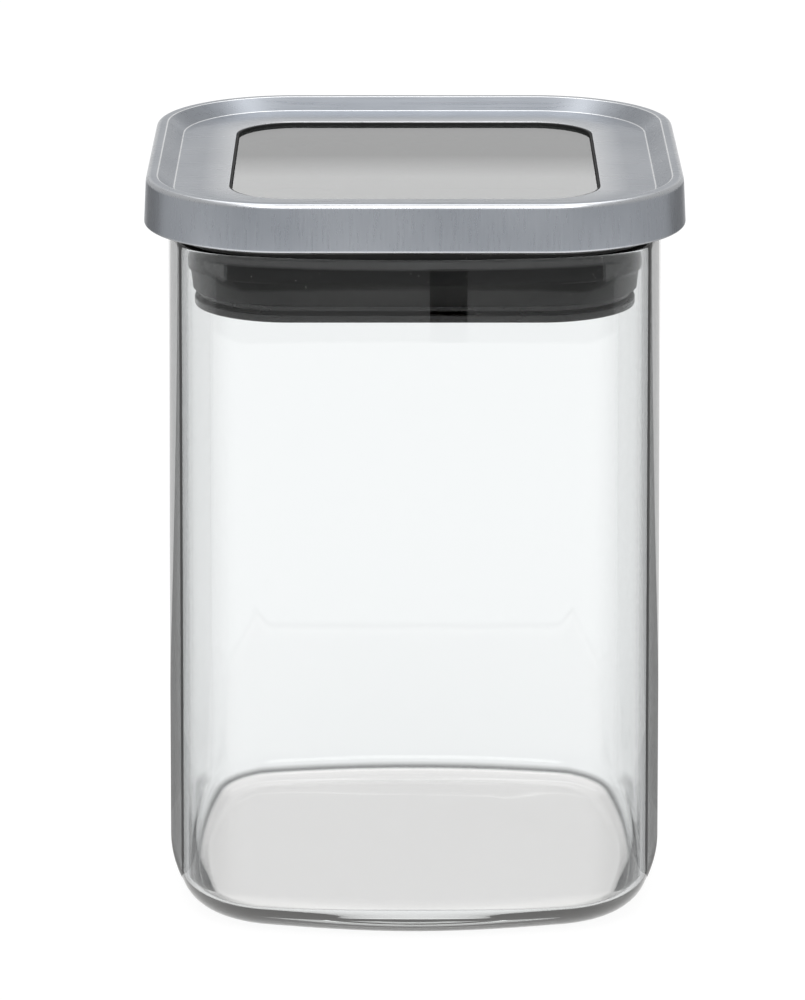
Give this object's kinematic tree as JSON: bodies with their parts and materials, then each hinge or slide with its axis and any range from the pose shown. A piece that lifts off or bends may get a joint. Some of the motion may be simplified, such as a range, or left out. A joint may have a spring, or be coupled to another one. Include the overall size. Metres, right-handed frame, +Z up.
{
  "type": "lidded glass canister",
  "caption": "Square clear glass storage canister with a lift-off brushed steel lid, a tinted window in the lid and a sealed plug that fits the mouth.",
  "frame": {"origin": "middle of the underside of the glass base, on the surface the canister stands on", "axes": "+Z up through the lid, +X to the right and -Y towards the front; the four sides are alike"},
  "size_m": [0.1096, 0.1096, 0.1553],
  "materials": {
    "clear_glass": "clear polished glass",
    "brushed_steel": "fine brushed, satin",
    "tinted_pane": "grey-tinted, glossy",
    "black_gasket": "matte black",
    "smoky_plastic": "smoky black, semi-gloss",
    "dark_silicone": "dark grey silicone, satin"
  },
  "bodies": {
    "jar": {"glass_jar": "clear_glass"},
    "lid": {"lid_cap": "brushed_steel", "window_pane": "tinted_pane", "window_gasket": "black_gasket", "plug_body": "smoky_plastic", "seal_retainer": "smoky_plastic", "seal_ring": "dark_silicone"}
  },
  "joints": [
    {"name": "lid_lift", "type": "slide", "parent": "jar", "child": "lid", "axis": [0, 0, 1], "range_m": [0, 0.02]}
  ]
}
